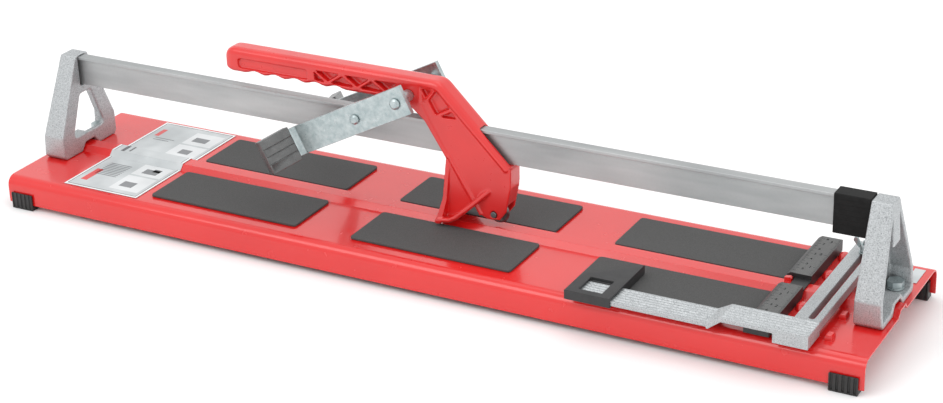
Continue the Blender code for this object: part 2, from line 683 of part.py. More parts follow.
def guide_corner():
    """A plastic square that wraps the arm and carries a face at 45 degrees."""
    left = ARM_LEFT - 1.0 * MM
    right = left + CORNER_LENGTH
    top = ARM_TOP + GAP + CORNER_TOP
    plan = [(left, CORNER_FRONT), (right, CORNER_FRONT), (right, ARM_REAR + CORNER_TIP),
            (left, ARM_REAR + CORNER_HEEL)]
    body = prism(plan, "z", ARM_UNDER, top)
    channel = box((left - 5 * MM, right + 5 * MM), (ARM_FRONT - GAP, ARM_REAR + GAP),
                  (ARM_UNDER + REBATE_HEIGHT - GAP, ARM_TOP + GAP))
    opening = box((left - 5 * MM, right + 5 * MM), (ARM_FRONT + REBATE_DEPTH - GAP, ARM_REAR + GAP),
                  (0.0, ARM_UNDER + REBATE_HEIGHT))
    centre = (left + right) / 2
    half = CORNER_WINDOW / 2
    window = box((centre - half, centre + half), (ARM_REAR - 2 * half, ARM_REAR + 2.5 * MM),
                 (ARM_TOP - 0.5 * MM, top + 5 * MM))
    return bevel(cut(body, channel, opening, window), 0.4 * MM, 1, 50)


def guide_bolt():
    centre = (SLOT_X, GUIDE_BOLT_Y)
    top = -SHEET - GAP
    head = rod("z", centre, 2.2 * GUIDE_BOLT_RADIUS, top - 2.5 * MM, top, 20)
    return join(head, rod("z", centre, GUIDE_BOLT_RADIUS, top - 1.0 * MM, GUIDE_BOLT_TOP, 16))


def guide_washer():
    low = LEG_TOP + GAP
    return sleeve("z", (SLOT_X, GUIDE_BOLT_Y), GUIDE_BOLT_RADIUS + GAP, 5.5 * MM, low, low + 1 * MM, 20)


def guide_wing_nut():
    """A wing nut with two rounded wings that rise from a tapered hub."""
    low = LEG_TOP + GAP + 1.0 * MM + GAP
    hub = loft([[Vector((a, b, z)) for a, b in circle((SLOT_X, GUIDE_BOLT_Y), r, 20)]
                for r, z in ((4.6 * MM, low), (4.2 * MM, low + 4 * MM), (3.6 * MM, low + 6 * MM))])
    wings = []
    for side in (-1, 1):
        outline = [(SLOT_X + side * a * MM, low + b * MM) for a, b in
                   ((2.9, 1.2), (6.5, 3.2), (10.5, 8.2), (9.5, 11.6), (6.8, 11.4), (3.4, 5.2))]
        wings.append(prism(rounded(outline, 1.5 * MM, 2), "y", GUIDE_BOLT_Y - 0.9 * MM,
                           GUIDE_BOLT_Y + 0.9 * MM))
    join(hub, *wings)
    return cut(hub, rod("z", (SLOT_X, GUIDE_BOLT_Y), GUIDE_BOLT_RADIUS + GAP, 0, 3 * low, 16))


# ---------------------------------------------------------------- handle

def above(x, rise):
    """A point of the handle's side view, measured up from the rail's top."""
    return (x * MM, RAIL_TOP + rise * MM)


def below(x, rise):
    """A point of the handle's side view, measured from the rail's bottom."""
    return (x * MM, RAIL_BOTTOM + rise * MM)


def low(x, z):
    """A point of the handle's side view, measured up from the plate."""
    return (x * MM, z * MM)


def crown_ring(point, inward, depth, half, radius):
    """One section of the grip or spine: a rounded crown, straight sides and a chamfered foot."""
    foot = min(2.0 * MM, depth / 4)
    arc = [math.radians(a) for a in (0, 30, 60, 90)]
    right = [(half - foot, depth), (half, depth - foot)]
    right += [(half - radius + radius * math.cos(t), radius - radius * math.sin(t)) for t in arc]
    section = right + [(-y, drop) for y, drop in reversed(right)]
    return [Vector((point[0] + inward[0] * drop, y, point[1] + inward[1] * drop))
            for y, drop in section]


def grip_under(x):
    """The underside's rise above its lowest line, with the finger grooves."""
    first, last = GRIP_END + 20 * MM, GRIP_END + 20 * MM + 5 * FINGER_PITCH
    if first <= x <= last:
        return FINGER_DEPTH * (1 - math.cos(math.tau * (x - first) / FINGER_PITCH)) / 2
    return 0.0


def beam():
    """The grip, elbow and spine as one swept bar."""
    rings = []
    nose = 9.0 * MM
    head_left, head_right = -25.0 * MM, -13.0 * MM
    xs = [GRIP_END + nose * share for share in (0.0, 0.06, 0.2, 0.45, 0.75, 1.1)]
    step = FINGER_PITCH / 6
    first = GRIP_END + 20 * MM
    xs += [first + step * i for i in range(-2, 31)]
    xs += [-60.0 * MM, -40.0 * MM, head_left, head_right]
    for x in xs:
        back = max(0.0, 1 - (x - GRIP_END) / nose)
        shrink = 1 - math.sqrt(max(0.0, 1 - back * back))
        top = CROWN_TOP - 7.0 * MM * shrink
        depth = GRIP_DEPTH - grip_under(x) - 10.0 * MM * shrink
        if x > head_left:
            depth += HEAD_DEPTH * (x - head_left) / (head_right - head_left)
        rings.append(crown_ring((x, top), (0, -1), depth, GRIP_HALF - 3.5 * MM * shrink,
                                CROWN_RADIUS - 1.5 * MM * shrink))
    rings.append(crown_ring((head_right + 0.2 * MM, CROWN_TOP), (0, -1), SPINE_DEPTH, GRIP_HALF,
                            CROWN_RADIUS))
    spine_foot = Vector(below(71.8, -0.5))
    slope = math.atan2(CROWN_TOP - spine_foot.y, spine_foot.x - ELBOW_X)
    centre = Vector((ELBOW_X - ELBOW_RADIUS * math.tan(slope / 2), CROWN_TOP - ELBOW_RADIUS))
    for k in range(6):
        turn = slope * k / 5
        out = Vector((math.sin(turn), math.cos(turn)))
        rings.append(crown_ring(centre + out * ELBOW_RADIUS, -out, SPINE_DEPTH, GRIP_HALF, CROWN_RADIUS))
    rings.append(crown_ring(spine_foot, (-math.sin(slope), -math.cos(slope)), SPINE_DEPTH,
                            GRIP_HALF, CROWN_RADIUS))
    return loft(rings)


def spine_line(inset):
    """Two points on the spine's outer line, moved into the handle by an inset."""
    foot = Vector(below(71.8, -0.5))
    elbow = Vector((ELBOW_X, CROWN_TOP))
    heading = (foot - elbow).normalized()
    inward = Vector((heading.y, -heading.x))
    return elbow + inward * inset, foot + inward * inset


def on_spine(inset, z):
    """The spine line's x at a height."""
    start, end = spine_line(inset)
    return start.x + (end.x - start.x) * (z - start.y) / (end.y - start.y)


def cheek_outline():
    """The head's side plates: upper block, leg and toe in one outline."""
    top, foot = spine_line(2.6 * MM)
    return [above(-23.0, 15.0), above(-10.0, 1.6), below(9.7, -1.5), low(6.6, 25.8), low(3.4, 9.0),
            low(18.0, 11.0), low(31.0, 20.5), low(36.5, 25.0), low(42.9, 15.2), low(49.0, 12.6),
            low(60.3, 13.8), low(66.5, 22.0), low(71.3, 44.4), below(72.0, -3.0), tuple(foot),
            (top.x - 1 * MM, CROWN_TOP - 2.6 * MM), (-14.0 * MM, CROWN_TOP - 2.6 * MM)]


def inner_outline():
    """The free space between the cheeks: round the rail, the shoe and the wheel."""
    roof = RAIL_TOP + 3.6 * MM
    wall = SPINE_WALL
    bend = RAIL_BOTTOM - 0.9 * MM
    return [(-45 * MM, roof), (on_spine(wall, roof), roof), (on_spine(wall, bend), bend),
            below(68.8, -4.0), low(68.0, 44.6), low(64.2, 28.0), low(90.0, 27.0), low(90.0, -5.0),
            low(15.0, -5.0), low(15.0, 12.0), low(-45.0, 12.0)]


def strut_and_skid():
    """The toe: a flared strut, its foot bar and the round bead that runs back to the cheeks."""
    levels = [(below(8.8, 1.0), 4.4, 8.6), (below(9.4, -3.0), 4.0, 9.2), (low(6.9, 26.0), 4.4, 13.0),
              (low(3.4, 10.5), 5.4, 18.0), (low(2.0, 7.0), 6.2, SKID_HALF_WIDTH / MM),
              (low(2.8, 4.6), 4.6, SKID_HALF_WIDTH / MM)]
    rings = []
    for (x, z), thickness, half in levels:
        rings.append([Vector((x, -half * MM, z)), Vector((x + thickness * MM, -half * MM, z)),
                      Vector((x + thickness * MM, half * MM, z)), Vector((x, half * MM, z))])
    strut = loft(rings)
    reach = SKID_HALF_WIDTH - SKID_RADIUS
    route = [(low(4.6, 7.2), reach), (low(16.0, 9.0), reach), (low(22.0, 12.6), reach),
             (low(29.0, 19.0), reach - 1 * MM), (low(37.0, 26.2), reach - 4 * MM),
             (low(47.3, 36.0), CHEEK_OUTER + 0.4 * MM), (low(51.0, 39.5), CHEEK_OUTER - 1.4 * MM)]
    shelf = SKID_RADIUS / 2
    beads = []
    for side in (-1, 1):
        beads.append(tube([(x, side * y, z) for (x, z), y in route], SKID_RADIUS, 8))
        rings = []
        for (x, z), y in route[:-1]:
            near = CHEEK_INNER - 1 * MM
            rings.append([Vector((x, side * near, z - shelf)), Vector((x, side * y, z - shelf)),
                          Vector((x, side * y, z + shelf)), Vector((x, side * near, z + shelf))])
        beads.append(loft(rings))
    return [strut] + beads


def strip(start, end, width):
    """A straight band between two points of the side view, drawn as a four-sided outline."""
    start, end = Vector(start), Vector(end)
    heading = (end - start).normalized()
    side = Vector((-heading.y, heading.x)) * (width / 2)
    return [tuple(start + side), tuple(end + side), tuple(end - side), tuple(start - side)]


def edge_ribs():
    """Raised ribs on the cheeks: the leading edge and the long diagonal."""
    half = GRIP_HALF - 0.25 * MM
    leading = [above(-22.0, 16.0), above(-24.2, 13.4), above(-9.8, 1.4), below(10.2, -1.5),
               below(13.6, -1.2), above(-5.2, 2.6), above(-15.0, 21.0)]
    diagonal = strip(below(11.6, 2.0), low(42.4, 15.8), 2.6 * MM)
    return [prism(leading, "y", -half, half), prism(diagonal, "y", -half + 0.3 * MM, half - 0.3 * MM)]


def shrunk(points, inset):
    """A convex outline drawn in by an inset."""
    middle = sum((Vector(p) for p in points), Vector((0, 0))) / len(points)
    result = []
    for point in points:
        arm = Vector(point) - middle
        result.append(tuple(middle + arm * max(0.2, 1 - inset * 1.6 / arm.length)))
    return result


def side_recesses():
    """Pockets in both sides of the handle: a long plain one, a truss and the head's three cells."""
    shallow, deep = GRIP_HALF - 3.0 * MM, GRIP_HALF - 6.0 * MM
    recesses = []
    grip = rounded([above(-200, 20.1), above(-127, 20.1), above(-127, 29.1), above(-200, 29.1)],
                   [3.0 * MM, 1.0 * MM, 1.0 * MM, 3.0 * MM], 3)
    recesses.append((grip, shallow))
    nodes = [(-121, 1), (-106, 0), (-91, 1), (-76, 0), (-61, 1), (-46, 0), (-33, 1)]
    floor, roof = 19.6, 30.8
    for (x0, up0), (x1, up1), (x2, up2) in zip(nodes, nodes[1:], nodes[2:]):
        heights = [roof if up else floor for up in (up0, up1, up2)]
        cell = [above(x0, heights[0]), above(x1, heights[1]), above(x2, heights[2])]
        recesses.append((shrunk(cell, 1.3 * MM), deep))
    ends = [[above(-121, roof), above(-121, floor), above(-106, floor)],
            [above(-33, roof), above(-33, floor), above(-46, floor)]]
    recesses += [(shrunk(cell, 1.3 * MM), deep) for cell in ends]
    cells = [[above(-12.5, 29.5), above(-2.0, 29.5), above(-8.8, 22.0)],
             [above(1.0, 29.3), above(3.5, 28.2), above(14.5, 15.5), above(0.5, 8.0), above(-6.0, 19.5)],
             [above(16.5, 13.0), above(21.0, 6.8), above(4.0, 6.0)]]
    recesses += [(cell, deep) for cell in cells]
    cutters = []
    for outline, depth in recesses:
        for side in (-1, 1):
            cutters.append(prism(outline, "y", *sorted((side * depth, side * 2 * GRIP_HALF))))
    return cutters


def handle():
    """The cast handle, from the grip's end to the toe and the wheel fork."""
    body = beam()
    join(body, prism(cheek_outline(), "y", -CHEEK_OUTER, CHEEK_OUTER))
    join(body, *edge_ribs())
    join(body, *strut_and_skid())
    cut(body, prism(inner_outline(), "y", -CHEEK_INNER, CHEEK_INNER))
    window = RAIL_HALF + FIT
    cut(body, box((SHOE_RIGHT - 4 * MM, 2 * PIVOT_X), (-window, window),
                  (RAIL_BOTTOM - FIT, RAIL_TOP + FIT)))
    cut(body, box((SHOE_LEFT - GAP, SHOE_RIGHT + GAP), (-SHOE_HALF - GAP, SHOE_HALF + GAP),
                  (RAIL_BOTTOM - FIT, SHOE_ROOF + GAP)))
    cut(body, prism(ridge_outline(2 * FIT, -2 * MM), "x", -20 * MM, 90 * MM))
    cut(body, *side_recesses())
    blind = CHEEK_OUTER - 0.7 * MM
    wide = 2 * GRIP_HALF
    return cut(body, rod("y", (PIVOT_X, PIVOT_Z), PIVOT_RADIUS + GAP, -blind, blind, 20),
               rod("y", (BREAKER_X, BREAKER_Z), PIVOT_BOLT_RADIUS + GAP, -wide, wide, 20),
               rod("y", (WHEEL_X, WHEEL_Z), WHEEL_PIN_RADIUS + GAP, -wide, wide, 20))


def slide_shoe():
    """The nylon shoe: a loop round the rail, an arm below it and the handle's two trunnions."""
    bottom = RAIL_BOTTOM - GAP - SHOE_ARM_DEPTH
    outline = [(SHOE_LEFT, bottom), (PIVOT_X + 5.0 * MM, bottom),
               (PIVOT_X + 5.0 * MM, RAIL_BOTTOM - GAP), (SHOE_RIGHT, RAIL_BOTTOM - GAP),
               (SHOE_RIGHT, SHOE_ROOF), (SHOE_LEFT, SHOE_ROOF)]
    body = prism(outline, "y", -SHOE_HALF, SHOE_HALF)
    reach = CHEEK_OUTER - 1.0 * MM
    join(body, rod("y", (PIVOT_X, PIVOT_Z), PIVOT_RADIUS, -reach, reach, 20))
    track = RAIL_HALF + GAP
    return cut(body, box((0.0, SHOE_RIGHT + 10 * MM), (-track, track),
                         (RAIL_BOTTOM - GAP, RAIL_TOP + GAP)))


def wheel_pin():
    centre = (WHEEL_X, WHEEL_Z)
    reach = CHEEK_OUTER + 0.9 * MM
    return bevel(rod("y", centre, WHEEL_PIN_RADIUS, -reach, reach, 20), 0.4 * MM)


def scoring_wheel():
    hub = CHEEK_INNER - 0.8 * MM
    half = WHEEL_THICKNESS / 2
    bore = WHEEL_PIN_RADIUS + GAP
    profile = [(bore, -hub), (bore + 2.2 * MM, -hub), (bore + 2.4 * MM, -half),
               (WHEEL_RADIUS - half, -half), (WHEEL_RADIUS, 0.0), (WHEEL_RADIUS - half, half),
               (bore + 2.4 * MM, half), (bore + 2.2 * MM, hub), (bore, hub)]
    return turned("y", (WHEEL_X, WHEEL_Z), profile, 28)


# ---------------------------------------------------------------- breaker

STRAP_HEADING = Vector((-math.cos(BREAKER_SLOPE), 0, -math.sin(BREAKER_SLOPE)))
STRAP_ACROSS = Vector((-math.sin(BREAKER_SLOPE), 0, math.cos(BREAKER_SLOPE)))
BREAKER_PIVOT = Vector((BREAKER_X, 0, BREAKER_Z))


def strap_point(along, y, across):
    """A bench point from places along the strap, out from the rail and across the strap."""
    return BREAKER_PIVOT + STRAP_HEADING * along + STRAP_ACROSS * across + Vector((0, y, 0))


def strap_prism(outline, side, half):
    """Extrude an (along, y) outline across the strap's width, on one side of the rail."""
    return loft([[strap_point(a, side * y, across) for a, y in outline] for across in (-half, half)])


def bend_point(radius, angle):
    centre_y = STRAP_OUTER_Y + STRAP_BEND_RADIUS
    return (STRAP_LENGTH + radius * math.sin(angle), centre_y - radius * math.cos(angle))


def tab_point(depth, reach):
    """A point of the bent tab, from its depth through the strap and its reach past the bend."""
    a, y = bend_point(STRAP_BEND_RADIUS + depth, STRAP_BEND)
    return (a + reach * math.cos(STRAP_BEND), y + reach * math.sin(STRAP_BEND))


def breaker_arm(side):
    """One zinc-plated strap, bent outwards at its lower end."""
    steps = [STRAP_BEND * k / 5 for k in range(6)]
    inner = [bend_point(STRAP_BEND_RADIUS + STRAP, t) for t in steps]
    outer = [bend_point(STRAP_BEND_RADIUS, t) for t in reversed(steps)]
    outline = ([(-STRAP_TAIL, STRAP_INNER_Y)] + inner + [tab_point(STRAP, TAB_REACH),
               tab_point(0.0, TAB_REACH)] + outer + [(-STRAP_TAIL, STRAP_OUTER_Y)])
    body = strap_prism(outline, side, STRAP_WIDTH / 2)
    tie = BREAKER_PIVOT + STRAP_HEADING * TIE_PIN_REACH
    span = sorted((side * STRAP_INNER_Y / 2, side * 2 * STRAP_OUTER_Y))
    return bevel(cut(body, rod("y", (BREAKER_X, BREAKER_Z), PIVOT_BOLT_RADIUS + GAP, *span, 20),
                     rod("y", (tie.x, tie.z), TIE_PIN_RADIUS + GAP, *span, 16)), 0.35 * MM, 1, 50)


def breaker_pad(side):
    """A rubber sleeve over the strap's bent tab."""
    near = TAB_REACH + BREAKER_PAD_WALL - BREAKER_PAD_LENGTH
    thick = BREAKER_PAD_WALL
    corners = [tab_point(-thick, near), tab_point(STRAP + thick, near),
               tab_point(STRAP + thick, TAB_REACH + thick), tab_point(-thick, TAB_REACH + thick)]
    body = strap_prism(rounded(corners, 1.2 * MM, 2), side, STRAP_WIDTH / 2 + thick)
    hollow = [tab_point(-GAP, near - 4 * MM), tab_point(STRAP + GAP, near - 4 * MM),
              tab_point(STRAP + GAP, TAB_REACH + GAP), tab_point(-GAP, TAB_REACH + GAP)]
    return bevel(cut(body, strap_prism(hollow, side, STRAP_WIDTH / 2 + GAP)), 0.4 * MM, 1, 60)


def pivot_spacer(side):
    low_y, high_y = GRIP_HALF + FIT, STRAP_INNER_Y - GAP
    middle = (low_y + high_y) / 2
    bore = PIVOT_BOLT_RADIUS + GAP
    profile = [(bore, low_y), (SPACER_RADIUS - 1 * MM, low_y), (SPACER_RADIUS, middle),
               (SPACER_RADIUS - 1 * MM, high_y), (bore, high_y)]
    return turned("y", (BREAKER_X, BREAKER_Z), [(r, side * y) for r, y in profile], 24)


def headed_pin(centre, radius, head_radius, head, far_end, second_head):
    """A pin along Y with a domed head in front and, if asked, one behind."""
    seat = STRAP_OUTER_Y + GAP
    ends = [(-1, seat)] + ([(1, seat)] if second_head else [])
    body = rod("y", centre, radius, -seat - head / 3, far_end, 20)
    heads = []
    for side, y in ends:
        rings = [(head_radius, y), (head_radius, y + head * 0.45), (head_radius * 0.62, y + head)]
        heads.append(loft([[Vector((a, side * depth, b)) for a, b in circle(centre, r, 20)]
                           for r, depth in rings]))
    return join(body, *heads)


def pivot_bolt():
    far = STRAP_OUTER_Y + GAP + BOLT_HEAD + 2.0 * MM
    return headed_pin((BREAKER_X, BREAKER_Z), PIVOT_BOLT_RADIUS, PIVOT_HEAD_RADIUS, PIVOT_HEAD, far, False)


def pivot_nut():
    low_y = STRAP_OUTER_Y + GAP
    nut = hexagon("y", (BREAKER_X, BREAKER_Z), 10.0 * MM, low_y, low_y + BOLT_HEAD)
    return cut(nut, rod("y", (BREAKER_X, BREAKER_Z), PIVOT_BOLT_RADIUS + GAP, low_y - BOLT_HEAD,
                        low_y + 2 * BOLT_HEAD, 20))


def tie_pin():
    tie = BREAKER_PIVOT + STRAP_HEADING * TIE_PIN_REACH
    far = STRAP_OUTER_Y + GAP + PIVOT_HEAD / 3
    return headed_pin((tie.x, tie.z), TIE_PIN_RADIUS, 4.5 * MM, PIVOT_HEAD, far, True)


# ---------------------------------------------------------------- labels

def label_left():
    """A printed film over the plate and its ridge."""
    slope = math.atan2(RIDGE_HEIGHT, RIDGE_FOOT - RIDGE_TOP)
    half = LABEL_WIDTH / 2

    def line(offset):
        shift = offset * math.tan(slope / 2)
        return [(half, offset), (RIDGE_FOOT + shift, offset), (RIDGE_TOP + shift, RIDGE_HEIGHT + offset)]

    under, over = line(GAP), line(GAP + LABEL)
    section = (under + [(-a, b) for a, b in reversed(under)]
               + [(-a, b) for a, b in over] + list(reversed(over)))
    start = -HALF_LENGTH + LABEL_START
    return prism(section, "x", start, start + LABEL_LENGTH)


def label_right():
    right = HALF_LENGTH - 5.9 * MM
    return box((right - 9.0 * MM, right), (52.0 * MM, 78.0 * MM), (GAP, GAP + LABEL))


# ---------------------------------------------------------------- assembly

def build():
    cutter = empty("tile_cutter", (0, 0, 0))
    cutter.location = (0, CENTRING, -FLOOR)
    carriage = empty("carriage_frame", (0, 0, RAIL_BOTTOM), cutter)
    handle_axis = empty("handle_axis", (PIVOT_X, 0, PIVOT_Z), carriage)
    wheel_axis = empty("wheel_axis", (WHEEL_X, 0, WHEEL_Z), handle_axis)
    breaker_axis = empty("breaker_axis", (BREAKER_X, 0, BREAKER_Z), handle_axis)
    guide_frame = empty("guide_frame", (SLOT_X, 0, LEG_UNDER), cutter)
    corner_frame = empty("corner_frame", (ARM_LEFT, ARM_FRONT, ARM_TOP), guide_frame)
    nut_axis = empty("wing_nut_axis", (SLOT_X, GUIDE_BOLT_Y, LEG_TOP), cutter)

    add("base_plate", base_plate(), "red_paint", cutter)
    for side, end in ((-1, "left"), (1, "right")):
        add(f"pylon_{end}", pylon(side), "cast_aluminium", cutter)
        add(f"rail_set_screw_{end}", rail_set_screw(side), "dark_steel", cutter)
        for row, place in ((-1, "front"), (1, "rear")):
            add(f"foot_{place}_{end}", foot(side, row), "black_rubber", cutter)
            add(f"pylon_bolt_{place}_{end}", pylon_bolt(side, row), "zinc_steel", cutter)
            add(f"pylon_washer_{place}_{end}", pylon_washer(side, row), "zinc_steel", cutter)
            add(f"pylon_nut_{place}_{end}", pylon_nut(side, row), "zinc_steel", cutter)
    add("rail", prism(rail_outline(0.0), "x", -RAIL_END, RAIL_END), "galvanised_steel", cutter)
    add("rail_bumper", rail_bumper(), "black_rubber", cutter)
    for row, place in ((-1, "front"), (1, "rear")):
        for index in range(PADS_PER_ROW):
            add(f"pad_{place}_{index + 1}", pad(index, row), "pad_rubber", cutter)
        add(f"ruler_screw_{place}", ruler_screw(row), "dark_steel", cutter)
    add("ruler_bar", ruler_bar(), "black_plastic", cutter)
    add("guide_bolt", guide_bolt(), "zinc_steel", cutter)
    add("guide_washer", guide_washer(), "zinc_steel", cutter)
    add("label_left", label_left(), "label_film", cutter)
    add("label_right", label_right(), "label_film", cutter)

    add("angle_guide", angle_guide(), "cast_aluminium", guide_frame)
    add("guide_corner", guide_corner(), "black_plastic", corner_frame)
    add("guide_wing_nut", guide_wing_nut(), "zinc_steel", nut_axis)

    add("slide_shoe", slide_shoe(), "nylon", carriage)
    add("handle", handle(), "red_paint", handle_axis)
    add("wheel_pin", wheel_pin(), "dark_steel", handle_axis)
    add("scoring_wheel", scoring_wheel(), "dark_steel", wheel_axis)
    add("pivot_bolt", pivot_bolt(), "zinc_steel", handle_axis)
    add("pivot_nut", pivot_nut(), "zinc_steel", handle_axis)
    for side, place in ((-1, "front"), (1, "rear")):
        add(f"pivot_spacer_{place}", pivot_spacer(side), "zinc_steel", handle_axis)
        add(f"breaker_arm_{place}", breaker_arm(side), "zinc_steel", breaker_axis)
        add(f"breaker_pad_{place}", breaker_pad(side), "black_rubber", breaker_axis)
    add("tie_pin", tie_pin(), "zinc_steel", breaker_axis)


for old in list(bpy.data.objects):
    bpy.data.objects.remove(old)
build()
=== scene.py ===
"""Looks of the tile cutter: refined castings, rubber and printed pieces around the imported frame."""
import json
import math

import bmesh
import bpy
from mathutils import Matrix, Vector


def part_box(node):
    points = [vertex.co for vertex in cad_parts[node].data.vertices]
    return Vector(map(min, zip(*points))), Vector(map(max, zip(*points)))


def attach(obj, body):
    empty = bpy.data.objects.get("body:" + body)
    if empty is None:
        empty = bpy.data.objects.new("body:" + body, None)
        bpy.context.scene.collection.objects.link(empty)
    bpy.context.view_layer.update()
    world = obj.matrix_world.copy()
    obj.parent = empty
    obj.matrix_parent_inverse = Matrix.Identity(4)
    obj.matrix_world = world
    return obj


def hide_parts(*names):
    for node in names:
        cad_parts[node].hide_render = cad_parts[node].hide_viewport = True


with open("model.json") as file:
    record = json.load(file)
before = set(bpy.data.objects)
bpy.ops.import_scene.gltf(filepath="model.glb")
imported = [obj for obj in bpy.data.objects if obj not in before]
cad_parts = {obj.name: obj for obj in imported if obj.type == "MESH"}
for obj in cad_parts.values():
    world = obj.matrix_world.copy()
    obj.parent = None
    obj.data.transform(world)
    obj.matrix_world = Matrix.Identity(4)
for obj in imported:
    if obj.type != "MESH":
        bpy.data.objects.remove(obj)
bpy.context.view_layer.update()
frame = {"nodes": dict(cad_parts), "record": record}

MM = 0.001
NODES = frame["nodes"]
BODY = {node: body for body, nodes in frame["record"]["behaviour"]["bodies"].items() for node in nodes}
SLOT = {entry["node"]: entry["material_slot"] for entry in frame["record"]["subparts"]}

MID_Y = sum(corner.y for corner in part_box("rail")) / 2          # the rail's middle plane
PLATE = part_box("pad_front_1")[0].z - 0.3 * MM                   # the plate's top face


def bench(x, y, z):
    """A point in millimetres from the middle of the plate's top face."""
    return Vector((x * MM, y * MM + MID_Y, z * MM + PLATE))


# Camera, standing about 25 degrees above the bench and to the right of the cutter
CAMERA_PLACE = (831.85, -1432.11, 769.35)      # bench millimetres
CAMERA_TURN = (65.515, 1.697, 28.521)          # degrees about X, Y and Z
CAMERA_LENS = 79.6352                          # millimetres
CAMERA_SENSOR = 36.0
CAMERA_REACH = 50.0                            # metres

# Feet and bumper
FLUTES = 5
FLUTE_RADIUS = 1.1 * MM
FLUTE_START = 1.5 * MM                         # above the sole
OVERCUT = 5 * MM                               # a cutter's length past the face that it opens
BUMPER_RIBS = 7
BUMPER_RIB_RADIUS = 0.18 * MM

# Angle guide: the arm's stepped top and the grooves between its ribs
GUIDE_ARM_TOP = 8.4 * MM                       # above the plate
GUIDE_PATH = [(-3.0, 0.0), (121.5, 0.0), (133.5, 6.6), (207.0, 6.6)]
GUIDE_GROOVES = 6
GUIDE_GROOVE_FIRST = 3.2 * MM                  # from the arm's front face
GUIDE_GROOVE_PITCH = 3.9 * MM
GUIDE_GROOVE_HALF = 1.7 * MM
GUIDE_GROOVE_DEPTH = 1.5 * MM
GUIDE_GROOVE_ABOVE = 0.6 * MM

# Breaker arms and pads
BREAKER_SLOPE = math.radians(27)
BREAKER_BEND = math.radians(65)
PAD_FACE = 4.85 * MM                           # from the pad's middle plane to its face
PAD_GROOVE_PITCH = 7.0 * MM
PAD_GROOVE_RADIUS = 0.6 * MM
PAD_GROOVE_REACH = 30 * MM

# Ruler marks
CENTIMETRE, INCH = 10 * MM, 25.4 * MM
RULER_BEVEL_WIDTH = 3.1 * MM
RULER_MARGIN = 0.4 * MM
RULER_REACH = 84.5 * MM
TICK_LONG, TICK_MIDDLE, TICK_SHORT = 4.2 * MM, 3.0 * MM, 1.8 * MM
TICK_HALF_WIDTH = 0.14 * MM
TICK_SUNK, TICK_PROUD = 0.12 * MM, 0.04 * MM
INCH_PARTS = 16
CENTIMETRE_DIGIT, CENTIMETRE_DIGIT_INSET = 4.2 * MM, 6.4 * MM
INCH_DIGIT, INCH_DIGIT_INSET = 5.2 * MM, 6.6 * MM
DIGIT_PROUD = 0.05 * MM

# Label over the plate's ridge
LABEL_THICKNESS = 0.25 * MM
RIDGE_HALF, RIDGE_TOP, RIDGE_RISE = 11.6 * MM, 6.6 * MM, 5.0 * MM

FLOOR_HALF = 6.0                               # metres

# Edge radii of the small turned, bolted and moulded parts, in millimetres
EDGES = {"pivot_bolt": 0.4, "tie_pin": 0.4, "pivot_nut": 0.4, "pivot_spacer_front": 0.5,
         "pivot_spacer_rear": 0.5, "wheel_pin": 0.3, "scoring_wheel": 0.15, "slide_shoe": 0.5,
         "guide_bolt": 0.3, "guide_washer": 0.25, "rail_set_screw_left": 0.3,
         "rail_set_screw_right": 0.3, "ruler_screw_front": 0.3, "ruler_screw_rear": 0.3}
PYLON_WASHER_EDGE, PYLON_FASTENER_EDGE = 0.3, 0.4


# ---------------------------------------------------------------- materials

class Nodes:
    """A short way to write a node tree."""

    def __init__(self, name):
        self.material = bpy.data.materials.new(name)
        self.material.use_nodes = True
        self.tree = self.material.node_tree
        self.shader = self.tree.nodes["Principled BSDF"]
        self.place = self.tree.nodes.new("ShaderNodeTexCoord").outputs["Object"]

    def link(self, source, target):
        self.tree.links.new(source, target)

    def stretched(self, scale):
        node = self.tree.nodes.new("ShaderNodeMapping")
        node.inputs["Scale"].default_value = scale
        self.link(self.place, node.inputs["Vector"])
        return node.outputs["Vector"]

    def noise(self, scale, detail=2.0, vector=None, roughness=0.5):
        node = self.tree.nodes.new("ShaderNodeTexNoise")
        node.inputs["Scale"].default_value = scale
        node.inputs["Detail"].default_value = detail
        node.inputs["Roughness"].default_value = roughness
        self.link(vector or self.place, node.inputs["Vector"])
        return node.outputs["Fac"]

    def cells(self, scale):
        node = self.tree.nodes.new("ShaderNodeTexVoronoi")
        node.inputs["Scale"].default_value = scale
        self.link(self.place, node.inputs["Vector"])
        return node.outputs["Distance"]

    def ramp(self, value, stops):
        node = self.tree.nodes.new("ShaderNodeValToRGB")
        while len(node.color_ramp.elements) < len(stops):
            node.color_ramp.elements.new(0.5)
        for element, (position, colour) in zip(node.color_ramp.elements, stops):
            element.position = position
            element.color = (*colour, 1.0) if isinstance(colour, tuple) else (colour, colour, colour, 1.0)
        self.link(value, node.inputs["Fac"])
        return node.outputs["Color"]

    def bump(self, height, strength, distance, below=None):
        node = self.tree.nodes.new("ShaderNodeBump")
        node.inputs["Strength"].default_value = strength
        node.inputs["Distance"].default_value = distance
        self.link(height, node.inputs["Height"])
        if below:
            self.link(below, node.inputs["Normal"])
        return node.outputs["Normal"]

    def finish(self, colour=None, roughness=None, normal=None, metallic=0.0, **fixed):
        for name, value in (("Base Color", colour), ("Roughness", roughness), ("Normal", normal)):
            if value is None:
                continue
            if isinstance(value, (float, tuple)):
                self.shader.inputs[name].default_value = (*value, 1.0) if isinstance(value, tuple) else value
            else:
                self.link(value, self.shader.inputs[name])
        self.shader.inputs["Metallic"].default_value = metallic
        for name, value in fixed.items():
            self.shader.inputs[name.replace("_", " ").title().replace("Ior", "IOR")].default_value = value
        return self.material


